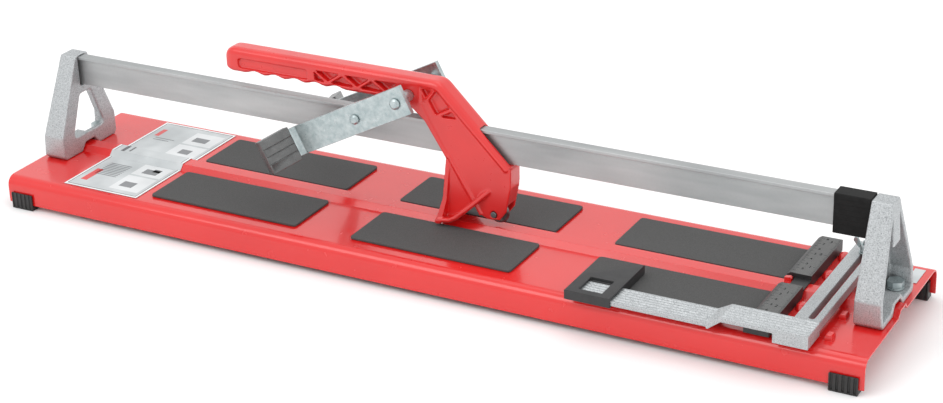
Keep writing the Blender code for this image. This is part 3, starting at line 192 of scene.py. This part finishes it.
def red_paint():
    n = Nodes("red_powder_coat")
    tint = n.ramp(n.noise(9.0), [(0.3, (0.66, 0.008, 0.008)), (0.7, (0.72, 0.011, 0.010))])
    rough = n.ramp(n.noise(70.0, 3.0), [(0.3, 0.20), (0.7, 0.28)])
    normal = n.bump(n.noise(900.0, 1.0), 0.05, 0.0004)
    return n.finish(tint, rough, normal, coat_weight=0.5, coat_roughness=0.08, specular_ior_level=0.6)


def red_casting():
    n = Nodes("red_painted_casting")
    tint = n.ramp(n.noise(25.0), [(0.3, (0.64, 0.010, 0.010)), (0.7, (0.72, 0.014, 0.012))])
    rough = n.ramp(n.noise(160.0, 3.0), [(0.3, 0.27), (0.7, 0.38)])
    coarse = n.bump(n.noise(140.0, 3.0), 0.10, 0.0008)
    normal = n.bump(n.noise(1300.0, 1.0), 0.06, 0.0003, coarse)
    return n.finish(tint, rough, normal, coat_weight=0.7, coat_roughness=0.18)


def cast_aluminium():
    n = Nodes("cast_aluminium")
    grain = n.noise(1100.0, 3.0, roughness=0.7)
    tint = n.ramp(grain, [(0.32, (0.22, 0.23, 0.24)), (0.46, (0.46, 0.48, 0.49)), (0.72, (0.64, 0.66, 0.67))])
    rough = n.ramp(n.noise(220.0, 3.0), [(0.3, 0.46), (0.7, 0.62)])
    coarse = n.bump(n.noise(180.0, 4.0), 0.22, 0.0006)
    normal = n.bump(grain, 0.30, 0.0003, coarse)
    return n.finish(tint, rough, normal, metallic=0.8)


def zinc_steel():
    n = Nodes("zinc_plate")
    cloud = n.noise(160.0, 4.0, roughness=0.65)
    tint = n.ramp(cloud, [(0.35, (0.36, 0.43, 0.44)), (0.65, (0.52, 0.58, 0.585))])
    rough = n.ramp(n.noise(420.0, 3.0), [(0.3, 0.26), (0.7, 0.40)])
    normal = n.bump(cloud, 0.12, 0.0003)
    return n.finish(tint, rough, normal, metallic=0.85)


def galvanised_steel():
    n = Nodes("galvanised_rail")
    clouds = n.noise(1.0, 3.0, n.stretched((7.0, 40.0, 40.0)), 0.55)
    mottle = n.noise(420.0, 3.0, roughness=0.7)
    tint = n.ramp(clouds, [(0.25, (0.33, 0.345, 0.35)), (0.75, (0.54, 0.55, 0.55))])
    rough = n.ramp(mottle, [(0.3, 0.36), (0.7, 0.50)])
    normal = n.bump(mottle, 0.14, 0.0003)
    return n.finish(tint, rough, normal, metallic=0.78)


def dark_steel():
    n = Nodes("oiled_steel")
    cloud = n.noise(300.0, 4.0)
    tint = n.ramp(cloud, [(0.3, (0.13, 0.13, 0.135)), (0.7, (0.24, 0.24, 0.245))])
    rough = n.ramp(cloud, [(0.3, 0.32), (0.7, 0.45)])
    return n.finish(tint, rough, n.bump(cloud, 0.1, 0.0002), metallic=0.9)


def pad_rubber():
    n = Nodes("cellular_rubber")
    speck = n.noise(1500.0, 3.0, roughness=0.8)
    tint = n.ramp(speck, [(0.35, (0.062, 0.062, 0.062)), (0.65, (0.105, 0.105, 0.104))])
    pores = n.bump(n.cells(1400.0), 0.25, 0.0002)
    normal = n.bump(n.noise(90.0, 2.0), 0.06, 0.0008, pores)
    return n.finish(tint, 0.88, normal, specular_ior_level=0.3)


def black_rubber():
    n = Nodes("moulded_rubber")
    cloud = n.noise(260.0, 3.0)
    tint = n.ramp(cloud, [(0.3, (0.013, 0.013, 0.013)), (0.7, (0.024, 0.023, 0.022))])
    rough = n.ramp(n.noise(600.0, 2.0), [(0.3, 0.38), (0.7, 0.52)])
    return n.finish(tint, rough, n.bump(cloud, 0.10, 0.0003))


def black_plastic():
    n = Nodes("moulded_plastic")
    grain = n.noise(1600.0, 2.0)
    tint = n.ramp(n.noise(120.0, 3.0), [(0.3, (0.020, 0.020, 0.021)), (0.7, (0.030, 0.030, 0.031))])
    rough = n.ramp(grain, [(0.3, 0.40), (0.7, 0.52)])
    return n.finish(tint, rough, n.bump(grain, 0.14, 0.0002))


def bumper_rubber():
    n = Nodes("matt_rubber")
    cloud = n.noise(260.0, 3.0)
    return n.finish(n.ramp(cloud, [(0.3, 0.004), (0.7, 0.008)]), 0.62, n.bump(cloud, 0.08, 0.0003),
                    specular_ior_level=0.25)


def breaker_rubber():
    n = Nodes("polished_rubber")
    cloud = n.noise(120.0, 3.0)
    tint = n.ramp(cloud, [(0.3, (0.050, 0.053, 0.053)), (0.7, (0.085, 0.090, 0.090))])
    rough = n.ramp(n.noise(300.0, 2.0), [(0.3, 0.24), (0.7, 0.36)])
    return n.finish(tint, rough, n.bump(cloud, 0.08, 0.0003), specular_ior_level=0.9)


def ruler_grey():
    # a lighter grey for the ruler's top face alone; the sides keep the black plastic
    n = Nodes("ruler_top_lighter_grey")
    speck = n.noise(1500.0, 3.0, roughness=0.8)
    tint = n.ramp(speck, [(0.35, (0.085, 0.086, 0.085)), (0.65, (0.155, 0.157, 0.155))])
    return n.finish(tint, 0.6, n.bump(speck, 0.12, 0.0002))


def ruler_ink():
    n = Nodes("engraved_marks")
    cloud = n.noise(900.0, 2.0)
    return n.finish(n.ramp(cloud, [(0.3, 0.004), (0.7, 0.008)]), 0.75, specular_ior_level=0.2)


def nylon():
    n = Nodes("natural_nylon")
    cloud = n.noise(200.0, 3.0)
    return n.finish(n.ramp(cloud, [(0.3, (0.70, 0.69, 0.64)), (0.7, (0.78, 0.77, 0.72))]), 0.5,
                    n.bump(cloud, 0.05, 0.0003))


def film(name, light, dark):
    """Printed film with a soft tonal drift."""
    n = Nodes(name)
    drift = n.noise(28.0, 2.0)
    rough = n.ramp(n.noise(500.0, 2.0), [(0.3, 0.30), (0.7, 0.38)])
    return n.finish(n.ramp(drift, [(0.35, dark), (0.65, light)]), rough, coat_weight=0.3,
                    coat_roughness=0.12)


def floor_finish():
    n = Nodes("studio_floor")
    return n.finish(n.ramp(n.noise(3.0, 2.0), [(0.3, 0.93), (0.7, 0.95)]), 0.9, specular_ior_level=0.1)


LOOKS = {
    "red_paint": red_paint(), "red_casting": red_casting(), "cast_aluminium": cast_aluminium(),
    "zinc_steel": zinc_steel(), "galvanised_steel": galvanised_steel(), "dark_steel": dark_steel(),
    "pad_rubber": pad_rubber(), "black_rubber": black_rubber(), "black_plastic": black_plastic(),
    "nylon": nylon(), "floor": floor_finish(), "ink": ruler_ink(), "bumper_rubber": bumper_rubber(),
    "breaker_rubber": breaker_rubber(), "ruler_grey": ruler_grey(),
    "label_film": film("label_film", (0.60, 0.63, 0.64), (0.42, 0.45, 0.46)),
    "label_border": film("label_border", (0.90, 0.90, 0.90), (0.86, 0.86, 0.86)),
    "label_line": film("label_line", (0.07, 0.07, 0.08), (0.05, 0.05, 0.06)),
    "label_grey": film("label_grey", (0.20, 0.21, 0.22), (0.13, 0.14, 0.15)),
    "label_pale": film("label_pale", (0.74, 0.76, 0.77), (0.62, 0.64, 0.65)),
    "label_red": film("label_red", (0.72, 0.05, 0.05), (0.62, 0.04, 0.04)),
}


# ---------------------------------------------------------------- mesh tools

def new_object(name, mesh, look):
    """Link a mesh to the scene with one of the looks."""
    piece = bpy.data.objects.new(name, mesh)
    bpy.context.scene.collection.objects.link(piece)
    mesh.materials.clear()
    mesh.materials.append(LOOKS[look])
    return piece


def solid(bm, name="tool", look="ink"):
    """Turn a bmesh into an object with outward normals."""
    bmesh.ops.recalc_face_normals(bm, faces=bm.faces)
    mesh = bpy.data.meshes.new(name)
    bm.to_mesh(mesh)
    bm.free()
    return new_object(name, mesh, look)


def loft(rings, name="tool", look="ink"):
    """Join rings of points into a closed solid."""
    bm = bmesh.new()
    loops = [[bm.verts.new(point) for point in ring] for ring in rings]
    for lower, upper in zip(loops, loops[1:]):
        for i in range(len(lower)):
            j = (i + 1) % len(lower)
            bm.faces.new((lower[i], lower[j], upper[j], upper[i]))
    bm.faces.new(loops[0])
    bm.faces.new(loops[-1])
    return solid(bm, name, look)


def applied(piece):
    """Apply the piece's modifiers."""
    graph = bpy.context.evaluated_depsgraph_get()
    mesh = bpy.data.meshes.new_from_object(piece.evaluated_get(graph))
    piece.modifiers.clear()
    piece.data = mesh
    return piece


def cut(piece, tools):
    """Cut the tools out of a piece and delete them."""
    for tool in tools:
        modifier = piece.modifiers.new("cut", "BOOLEAN")
        modifier.operation = "DIFFERENCE"
        modifier.solver = "EXACT"
        modifier.object = tool
    applied(piece)
    for tool in tools:
        bpy.data.objects.remove(tool)
    return piece


def welded_copy(node, look):
    """A welded copy of a CAD node that can be refined."""
    mesh = NODES[node].data.copy()
    bm = bmesh.new()
    bm.from_mesh(mesh)
    bmesh.ops.remove_doubles(bm, verts=bm.verts, dist=0.005 * MM)
    bmesh.ops.dissolve_limit(bm, angle_limit=math.radians(0.6), verts=bm.verts, edges=bm.edges)
    bm.to_mesh(mesh)
    bm.free()
    return new_object(node + "_fine", mesh, look)


def hand_over(piece, node, look):
    """Give a refined piece its look and let it stand for its CAD node."""
    piece.data.materials.clear()
    piece.data.materials.append(LOOKS[look])
    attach(piece, BODY[node])
    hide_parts(node)
    return piece


def machined(node, look, width, segments=2, angle=30, cutters=()):
    """A refined copy with rounded edges, for folded, rolled, moulded and turned pieces."""
    piece = welded_copy(node, look)
    if cutters:
        cut(piece, list(cutters))
    piece.data.shade_smooth()
    piece.data.set_sharp_from_angle(angle=math.radians(angle))
    edges = piece.modifiers.new("edges", "BEVEL")
    edges.width = width
    edges.segments = segments
    edges.limit_method = "ANGLE"
    edges.angle_limit = math.radians(angle)
    weights = piece.modifiers.new("weights", "WEIGHTED_NORMAL")
    weights.mode = "FACE_AREA"
    weights.weight = 100
    weights.keep_sharp = False
    applied(piece)
    return hand_over(piece, node, look)


def cast(node, look, voxel, passes=3, keep=0.5, cutters=()):
    """A refined copy with the soft, blended edges of a casting."""
    piece = welded_copy(node, look)
    if cutters:
        cut(piece, list(cutters))
    remesh = piece.modifiers.new("skin", "REMESH")
    remesh.mode = "VOXEL"
    remesh.voxel_size = voxel
    smooth = piece.modifiers.new("soften", "SMOOTH")
    smooth.factor = 0.5
    smooth.iterations = passes
    thin = piece.modifiers.new("thin", "DECIMATE")
    thin.ratio = keep
    applied(piece)
    piece.data.shade_smooth()
    return hand_over(piece, node, look)


def ring(centre, radius, sides, axis_a, axis_b):
    """Points of a circle in the plane of two axes."""
    return [centre + axis_a * (radius * math.cos(math.tau * i / sides))
            + axis_b * (radius * math.sin(math.tau * i / sides)) for i in range(sides)]


X, Y, Z = Vector((1, 0, 0)), Vector((0, 1, 0)), Vector((0, 0, 1))


def bar(start, end, radius, sides=12, side_axis=None):
    """A round cutter between two points."""
    heading = (end - start).normalized()
    a = (side_axis or (Z if abs(heading.z) < 0.9 else X)).cross(heading).normalized()
    b = heading.cross(a)
    return loft([ring(start, radius, sides, a, b), ring(end, radius, sides, a, b)])


# ---------------------------------------------------------------- pieces

def add_base():
    """The folded plate, the fluted feet and the pads."""
    machined("base_plate", "red_paint", 0.35 * MM, 2, 40)
    for node in NODES:
        if node.startswith("foot_"):
            low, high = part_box(node)
            outer = low.y if "front" in node else high.y
            inner = high.y if "front" in node else low.y
            flutes = []
            for i in range(FLUTES):
                x = low.x + (high.x - low.x) * (i + 0.5) / FLUTES
                for y in (outer, inner):
                    flutes.append(bar(Vector((x, y, low.z + FLUTE_START)),
                                      Vector((x, y, high.z + OVERCUT)), FLUTE_RADIUS))
            machined(node, "black_rubber", 0.4 * MM, 2, 35, flutes)
        elif node.startswith("pad_"):
            machined(node, "pad_rubber", 0.35 * MM, 2, 60)


def add_pylons_and_rail():
    """The two castings, the rail and its bumper."""
    for node in ("pylon_left", "pylon_right"):
        cast(node, "cast_aluminium", 0.75 * MM, 3, 0.45)
    machined("rail", "galvanised_steel", 0.45 * MM, 3, 30)
    low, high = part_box("rail_bumper")
    ribs = []
    for i in range(BUMPER_RIBS):
        z = low.z + (high.z - low.z) * (i + 1) / (BUMPER_RIBS + 1)
        for y in (low.y, high.y):
            ribs.append(bar(Vector((low.x - 2 * MM, y, z)), Vector((high.x + 2 * MM, y, z)),
                            BUMPER_RIB_RADIUS, 8))
    machined("rail_bumper", "bumper_rubber", 0.7 * MM, 3, 50, ribs)


def guide_grooves():
    """Lengthwise grooves that follow the guide arm's stepped top."""
    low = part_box("angle_guide")[0]
    top = PLATE + GUIDE_ARM_TOP
    grooves = []
    for i in range(GUIDE_GROOVES):
        y = low.y + GUIDE_GROOVE_FIRST + GUIDE_GROOVE_PITCH * i
        rings = []
        for dx, dz in GUIDE_PATH:
            x, z = low.x + dx * MM, top + dz * MM
            rings.append([Vector((x, y - GUIDE_GROOVE_HALF, z + GUIDE_GROOVE_ABOVE)),
                          Vector((x, y, z - GUIDE_GROOVE_DEPTH)),
                          Vector((x, y + GUIDE_GROOVE_HALF, z + GUIDE_GROOVE_ABOVE))])
        grooves.append(loft(rings))
    return grooves


def add_guide():
    """The ribbed guide, its plastic corner and its wing nut."""
    cast("angle_guide", "cast_aluminium", 0.45 * MM, 2, 0.35, guide_grooves())
    machined("guide_corner", "black_plastic", 0.5 * MM, 3, 40)
    cast("guide_wing_nut", "zinc_steel", 0.3 * MM, 3, 0.6)


def add_handle():
    """The painted casting."""
    cast("handle", "red_casting", 0.7 * MM, 3, 0.45)


def add_breaker():
    """The bent arms and the grooved pads on them."""
    slope, bend = BREAKER_SLOPE, BREAKER_BEND
    across = Vector((-math.sin(slope), 0, math.cos(slope)))
    for node, side in (("breaker_pad_front", -1), ("breaker_pad_rear", 1)):
        low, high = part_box(node)
        centre = (low + high) / 2
        heading = Vector((-math.cos(slope) * math.cos(bend), side * math.sin(bend),
                          -math.sin(slope) * math.cos(bend)))
        outward = heading.cross(across).normalized() * side
        grooves = []
        for face in (-1, 1):
            for k in (-1, 0, 1):
                middle = centre + outward * (face * PAD_FACE) + across * (k * PAD_GROOVE_PITCH)
                reach = heading * PAD_GROOVE_REACH
                grooves.append(bar(middle - reach, middle + reach, PAD_GROOVE_RADIUS, 8, across))
        machined(node, "breaker_rubber", 0.6 * MM, 2, 40, grooves)
        machined(node.replace("pad", "arm"), "zinc_steel", 0.35 * MM, 2, 30)


def add_small_parts():
    """Bolts, washers, nuts, screws, pins, spacers, wheel and shoe."""
    edges = dict(EDGES)
    for node in NODES:
        if node.startswith("pylon_") and node not in ("pylon_left", "pylon_right"):
            edges[node] = PYLON_WASHER_EDGE if "washer" in node else PYLON_FASTENER_EDGE
    for node, width in edges.items():
        machined(node, SLOT[node], width * MM, 2, 35)


# ---------------------------------------------------------------- ruler

def add_ruler():
    """The ruler with its ticks and numbers, in centimetres on the left and inches on the right."""
    ruler = machined("ruler_bar", "black_plastic", 0.3 * MM, 2, 30)
    low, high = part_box("ruler_bar")
    top = high.z
    # the upward top face alone gets the lighter grey
    ruler.data.materials.append(LOOKS["ruler_grey"])
    for face in ruler.data.polygons:
        if face.normal.z > 0.99 and face.center.z > top - 0.1 * MM:
            face.material_index = 1
    marks = bmesh.new()

    def mark(x0, x1, y0, y1):
        corners = [(x0, y0), (x1, y0), (x1, y1), (x0, y1)]
        under = [marks.verts.new((x, y, top - TICK_SUNK)) for x, y in corners]
        over = [marks.verts.new((x, y, top + TICK_PROUD)) for x, y in corners]
        marks.faces.new(list(reversed(under)))
        marks.faces.new(over)
        for i in range(4):
            j = (i + 1) % 4
            marks.faces.new((under[i], under[j], over[j], over[i]))

    def tick_length(k, whole, half):
        return TICK_LONG if k % whole == 0 else (TICK_MIDDLE if k % half == 0 else TICK_SHORT)

    bevel_edge = low.x + RULER_BEVEL_WIDTH
    right = high.x - RULER_MARGIN
    for side in (-1, 1):
        for k in range(10, 85):
            y = MID_Y + side * k * MM
            if k % 5 == 0 or k % 2 == 0:
                mark(bevel_edge, bevel_edge + tick_length(k, 10, 5), y - TICK_HALF_WIDTH,
                     y + TICK_HALF_WIDTH)
        for k in range(7, 54):
            y = MID_Y + side * k * INCH / INCH_PARTS
            if abs(y - MID_Y) <= RULER_REACH:
                mark(right - tick_length(k, INCH_PARTS, INCH_PARTS // 2), right, y - TICK_HALF_WIDTH,
                     y + TICK_HALF_WIDTH)
    ticks = solid(marks, "ruler_ticks", "ink")
    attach(ticks, "base")

    def digit(text, x, y, size):
        curve = bpy.data.curves.new("digit", "FONT")
        curve.body = text
        curve.size = size
        curve.align_x = "CENTER"
        curve.align_y = "CENTER"
        curve.extrude = DIGIT_PROUD
        curve.offset = DIGIT_PROUD
        holder = bpy.data.objects.new("digit", curve)
        bpy.context.scene.collection.objects.link(holder)
        holder.location = (x, y, top)
        graph = bpy.context.evaluated_depsgraph_get()
        mesh = bpy.data.meshes.new_from_object(holder.evaluated_get(graph))
        mesh.transform(holder.matrix_basis)
        bpy.data.objects.remove(holder)
        return mesh

    numbers = bmesh.new()
    for side in (-1, 1):
        for k in range(2, 9):
            numbers.from_mesh(digit(str(k), bevel_edge + CENTIMETRE_DIGIT_INSET,
                                    MID_Y + side * k * CENTIMETRE, CENTIMETRE_DIGIT))
        for k in range(1, 4):
            numbers.from_mesh(digit(str(k), right - INCH_DIGIT_INSET, MID_Y + side * k * INCH,
                                    INCH_DIGIT))
    digits = solid(numbers, "ruler_digits", "ink")
    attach(digits, "base")


# ---------------------------------------------------------------- labels

def add_labels():
    """Plain film on both labels, and generic panels and lines on the large one."""
    for node in ("label_left", "label_right"):
        NODES[node].data.materials.clear()
        NODES[node].data.materials.append(LOOKS["label_film"])
    low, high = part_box("label_left")
    top = low.z + LABEL_THICKNESS

    def height(y):
        y = abs(y - MID_Y)
        if y >= RIDGE_HALF:
            return top
        return top + RIDGE_RISE * min(1.0, (RIDGE_HALF - y) / (RIDGE_HALF - RIDGE_TOP))

    def patch(bm, x0, x1, y0, y1, lift):
        """A thin printed patch that follows the plate and its ridge."""
        rows = [y0] + [MID_Y + s for s in (-RIDGE_HALF, -RIDGE_TOP, RIDGE_TOP, RIDGE_HALF)
                       if y0 < MID_Y + s < y1] + [y1]
        verts = [(bm.verts.new((x0, y, height(y) + lift)), bm.verts.new((x1, y, height(y) + lift)))
                 for y in rows]
        under = [(bm.verts.new((x0, y, height(y) + 0.01 * MM)), bm.verts.new((x1, y, height(y) + 0.01 * MM)))
                 for y in rows]
        for i in range(len(rows) - 1):
            bm.faces.new((verts[i][0], verts[i][1], verts[i + 1][1], verts[i + 1][0]))
            bm.faces.new((under[i][0], under[i + 1][0], under[i + 1][1], under[i][1]))
            bm.faces.new((verts[i][0], verts[i + 1][0], under[i + 1][0], under[i][0]))
            bm.faces.new((verts[i][1], under[i][1], under[i + 1][1], verts[i + 1][1]))
        bm.faces.new((verts[0][0], under[0][0], under[0][1], verts[0][1]))
        bm.faces.new((verts[-1][0], verts[-1][1], under[-1][1], under[-1][0]))

    def print_layer(name, look, lift, rects):
        bm = bmesh.new()
        for x0, x1, y0, y1 in rects:
            patch(bm, low.x + x0 * MM, low.x + x1 * MM, low.y + y0 * MM, low.y + y1 * MM, lift)
        piece = solid(bm, name, look)
        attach(piece, "base")

    wide, long = (high.x - low.x) / MM, (high.y - low.y) / MM

    def frame_lines(inset, width):
        a, b = inset, inset + width
        return [(a, wide - a, a, b), (a, wide - a, long - b, long - a),
                (a, b, b, long - b), (wide - b, wide - a, b, long - b)]

    print_layer("label_border", "label_border", 0.03 * MM, frame_lines(0.3, 1.8))
    print_layer("label_outline", "label_line", 0.04 * MM, frame_lines(2.2, 0.7))
    print_layer("label_panels", "label_pale", 0.03 * MM,
                [(44, 76, 9, 40), (44, 76, 43, 66), (44, 76, 96, 120), (44, 76, 123, 150)])
    rows = [(12, 36, 30 + 3.1 * i, 31.3 + 3.1 * i) for i in range(9)]
    print_layer("label_rows", "label_grey", 0.04 * MM,
                rows + [(50, 64, 16, 27), (52, 68, 48, 58), (54, 66, 101, 111), (50, 66, 130, 140),
                        (12, 30, 120, 121.2), (12, 34, 124, 125.2)])
    print_layer("label_bars", "label_line", 0.04 * MM,
                [(9, 13, 74, 92), (17, 19, 76, 90), (60, 68, 54, 60)])
    print_layer("label_accents", "label_red", 0.04 * MM, [(8, 15, 14, 40), (8, 13, 128, 144)])


# ---------------------------------------------------------------- studio

def add_studio():
    """A pale floor, an even white surround and three soft lights."""
    bpy.context.scene.view_settings.view_transform = "Standard"
    half = FLOOR_HALF
    mesh = bpy.data.meshes.new("floor")
    mesh.from_pydata([(-half, -half, 0), (half, -half, 0), (half, half, 0), (-half, half, 0)], [],
                     [(0, 1, 2, 3)])
    new_object("floor", mesh, "floor")

    world = bpy.data.worlds.new("studio")
    bpy.context.scene.world = world
    world.use_nodes = True
    sky = world.node_tree.nodes["Background"]
    sky.inputs["Color"].default_value = (1.0, 1.0, 1.0, 1.0)
    sky.inputs["Strength"].default_value = 1.0

    def softbox(name, place, target, size_x, size_y, power):
        light = bpy.data.lights.new(name, "AREA")
        light.shape = "RECTANGLE"
        light.size, light.size_y = size_x, size_y
        light.energy = power
        holder = bpy.data.objects.new(name, light)
        holder.location = place
        holder.rotation_euler = (Vector(target) - Vector(place)).to_track_quat("-Z", "Y").to_euler()
        bpy.context.scene.collection.objects.link(holder)

    softbox("key", (-0.9, -1.6, 1.9), (0, 0, 0), 1.6, 1.2, 13)
    softbox("top", (0.2, 0.3, 2.2), (0, 0, 0), 2.2, 1.4, 9)
    softbox("side", (1.9, -0.2, 1.2), (0, 0, 0), 1.0, 1.0, 3)


def add_camera():
    """The camera that gives the object's seen proportions: about 25 degrees above, from the right."""
    camera = bpy.data.cameras.new("camera")
    camera.sensor_width = CAMERA_SENSOR
    camera.lens = CAMERA_LENS
    camera.clip_end = CAMERA_REACH
    holder = bpy.data.objects.new("camera", camera)
    holder.location = bench(*CAMERA_PLACE)
    holder.rotation_euler = [math.radians(angle) for angle in CAMERA_TURN]
    bpy.context.scene.collection.objects.link(holder)
    bpy.context.scene.camera = holder


add_base()
add_pylons_and_rail()
add_guide()
add_handle()
add_breaker()
add_small_parts()
add_ruler()
add_labels()
add_studio()
add_camera()
